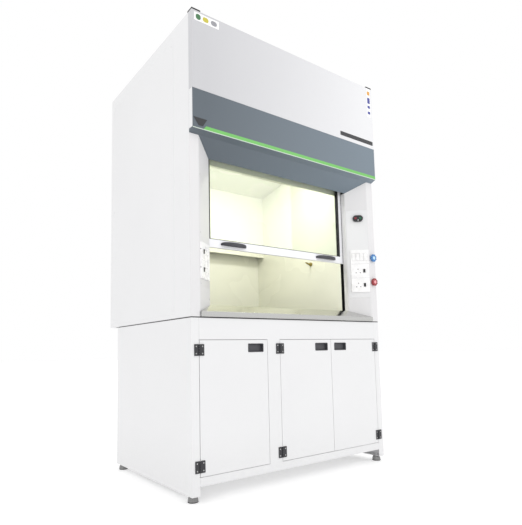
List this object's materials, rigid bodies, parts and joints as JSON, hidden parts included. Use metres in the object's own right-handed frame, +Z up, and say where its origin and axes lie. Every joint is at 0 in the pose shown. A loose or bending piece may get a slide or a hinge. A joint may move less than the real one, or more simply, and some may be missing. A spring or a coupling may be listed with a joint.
{
  "type": "fume hood",
  "caption": "Walk-up laboratory fume hood: sliding glass sash, splayed service posts, airfoil sill and lined chamber on a cupboard base with levelling feet.",
  "frame": {"origin": "on the floor under the middle of the whole outline", "axes": "+X to the user's right, +Y into the hood towards the wall, +Z up"},
  "size_m": [1.35, 1.114, 2.482],
  "materials": {
    "white_paint": "smooth semi-gloss powder coat",
    "post_paint": "smooth semi-gloss powder coat",
    "grey_paint": "light grey powder coat",
    "slate_paint": "slate grey powder coat",
    "cream_laminate": "cream compact laminate",
    "worktop_black": "black epoxy resin",
    "sill_steel": "polished stainless steel",
    "foot_metal": "plated steel",
    "hinge_black": "black enamel",
    "pull_plastic": "dark moulded plastic",
    "track_black": "black extruded plastic",
    "sash_white": "white coated extrusion",
    "sash_glass": "clear safety glass",
    "handle_grey": "dark grey moulding",
    "cast_iron": "plain casting",
    "cable_steel": "bright wire rope",
    "housing_black": "black moulding",
    "button_red": "red moulding",
    "button_green": "green moulding",
    "socket_white": "white moulding",
    "knob_blue": "blue moulding",
    "knob_red": "red moulding"
  },
  "bodies": {
    "cabinet": {"baffle": "cream_laminate", "bench_top": "worktop_black", "button_housing": "housing_black", "cabinet_shell": "white_paint", "cabinet_side_left": "white_paint", "cabinet_side_right": "white_paint", "ceiling_liner": "cream_laminate", "chamber_liner": "cream_laminate", "exhaust_collar": "white_paint", "face_frame": "white_paint", "fascia": "slate_paint", "foot_front_left": "foot_metal", "foot_front_right": "foot_metal", "foot_rear_left": "foot_metal", "foot_rear_right": "foot_metal", "front_top_panel": "grey_paint", "hinge_centre_lower": "hinge_black", "hinge_centre_upper": "hinge_black", "hinge_left_lower": "hinge_black", "hinge_left_upper": "hinge_black", "hinge_right_lower": "hinge_black", "hinge_right_upper": "hinge_black", "hood_back": "white_paint", "hood_side_left": "white_paint", "hood_side_right": "white_paint", "hood_top": "white_paint", "post_left": "post_paint", "post_right": "post_paint", "sash_cable": "cable_steel", "service_plate": "white_paint", "sill": "sill_steel", "socket_plate_left": "socket_white", "switch_plate": "socket_white", "track_left": "track_black", "track_right": "track_black"},
    "sash": {"sash_frame": "sash_white", "sash_glass": "sash_glass", "sash_handle_left": "handle_grey", "sash_handle_right": "handle_grey"},
    "counterweight": {"counterweight": "cast_iron"},
    "pulley_left": {"pulley_left": "cast_iron"},
    "pulley_right": {"pulley_right": "cast_iron"},
    "door_left": {"door_left": "white_paint", "pull_left": "pull_plastic"},
    "door_centre": {"door_centre": "white_paint", "pull_centre": "pull_plastic"},
    "door_right": {"door_right": "white_paint", "pull_right": "pull_plastic"},
    "blue_knob": {"blue_knob": "knob_blue"},
    "red_knob": {"red_knob": "knob_red"},
    "stop_button": {"stop_button": "button_red"},
    "start_button": {"start_button": "button_green"},
    "switch_1": {"switch_1": "socket_white"},
    "switch_2": {"switch_2": "socket_white"},
    "switch_3": {"switch_3": "socket_white"},
    "switch_4": {"switch_4": "socket_white"},
    "socket_rocker_left_lower": {"socket_rocker_left_lower": "housing_black"},
    "socket_rocker_left_upper": {"socket_rocker_left_upper": "housing_black"},
    "socket_rocker_right_lower": {"socket_rocker_right_lower": "housing_black"},
    "socket_rocker_right_upper": {"socket_rocker_right_upper": "housing_black"}
  },
  "joints": [
    {"name": "sash_slide", "type": "slide", "parent": "cabinet", "child": "sash", "axis": [0, 0, 1], "range_m": [-0.304, 0.25], "deforming": ["sash_cable"]},
    {"name": "counterweight_slide", "type": "slide", "parent": "cabinet", "child": "counterweight", "axis": [0, 0, 1], "range_m": [-0.25, 0.304]},
    {"name": "pulley_left_turn", "type": "hinge", "parent": "cabinet", "child": "pulley_left", "pos_m": [-0.45, -0.386, 2.343], "axis": [0, 1, 0], "range_deg": [-450, 370]},
    {"name": "pulley_right_turn", "type": "hinge", "parent": "cabinet", "child": "pulley_right", "pos_m": [0.53, -0.386, 2.343], "axis": [0, 1, 0], "range_deg": [-450, 370]},
    {"name": "door_left_hinge", "type": "hinge", "parent": "cabinet", "child": "door_left", "pos_m": [-0.6315, -0.5272, 0.4335], "axis": [0, 0, -1], "range_deg": [0, 110]},
    {"name": "door_centre_hinge", "type": "hinge", "parent": "cabinet", "child": "door_centre", "pos_m": [-0.1365, -0.5272, 0.4335], "axis": [0, 0, -1], "range_deg": [0, 110]},
    {"name": "door_right_hinge", "type": "hinge", "parent": "cabinet", "child": "door_right", "pos_m": [0.6315, -0.5272, 0.4335], "axis": [0, 0, 1], "range_deg": [0, 110]},
    {"name": "blue_knob_turn", "type": "hinge", "parent": "cabinet", "child": "blue_knob", "pos_m": [0.648, -0.54, 1.272], "axis": [0, 1, 0], "range_deg": [0, 360]},
    {"name": "red_knob_turn", "type": "hinge", "parent": "cabinet", "child": "red_knob", "pos_m": [0.648, -0.54, 1.116], "axis": [0, 1, 0], "range_deg": [0, 360]},
    {"name": "stop_button_press", "type": "slide", "parent": "cabinet", "child": "stop_button", "axis": [0.6402, 0.7682, 0], "range_m": [0, 0.0035], "stiffness_N_per_m": 600, "springref_m": -0.001},
    {"name": "start_button_press", "type": "slide", "parent": "cabinet", "child": "start_button", "axis": [0.6402, 0.7682, 0], "range_m": [0, 0.0035], "stiffness_N_per_m": 600, "springref_m": -0.001},
    {"name": "switch_1_rock", "type": "hinge", "parent": "cabinet", "child": "switch_1", "pos_m": [0.54004, -0.46441, 1.27875], "axis": [0.7682, -0.6402, 0], "range_deg": [-12, 0]},
    {"name": "switch_2_rock", "type": "hinge", "parent": "cabinet", "child": "switch_2", "pos_m": [0.55924, -0.48041, 1.27875], "axis": [0.7682, -0.6402, 0], "range_deg": [-12, 0]},
    {"name": "switch_3_rock", "type": "hinge", "parent": "cabinet", "child": "switch_3", "pos_m": [0.57845, -0.49642, 1.27875], "axis": [0.7682, -0.6402, 0], "range_deg": [-12, 0]},
    {"name": "switch_4_rock", "type": "hinge", "parent": "cabinet", "child": "switch_4", "pos_m": [0.59765, -0.51242, 1.27875], "axis": [0.7682, -0.6402, 0], "range_deg": [-12, 0]},
    {"name": "socket_rocker_left_lower_rock", "type": "hinge", "parent": "cabinet", "child": "socket_rocker_left_lower", "pos_m": [-0.59035, -0.50401, 1.09775], "axis": [0.7682, 0.6402, 0], "range_deg": [-12, 0]},
    {"name": "socket_rocker_left_upper_rock", "type": "hinge", "parent": "cabinet", "child": "socket_rocker_left_upper", "pos_m": [-0.59035, -0.50401, 1.18825], "axis": [0.7682, 0.6402, 0], "range_deg": [-12, 0]},
    {"name": "socket_rocker_right_lower_rock", "type": "hinge", "parent": "cabinet", "child": "socket_rocker_right_lower", "pos_m": [0.58882, -0.50506, 1.09775], "axis": [0.7682, -0.6402, 0], "range_deg": [-12, 0]},
    {"name": "socket_rocker_right_upper_rock", "type": "hinge", "parent": "cabinet", "child": "socket_rocker_right_upper", "pos_m": [0.58882, -0.50506, 1.18825], "axis": [0.7682, -0.6402, 0], "range_deg": [-12, 0]}
  ],
  "couplings": [
    {"joint": "counterweight_slide", "follows": "sash_slide", "ratio": -1},
    {"joint": "pulley_left_turn", "follows": "sash_slide", "rad_per_m": 25.575},
    {"joint": "pulley_right_turn", "follows": "sash_slide", "rad_per_m": 25.575}
  ]
}
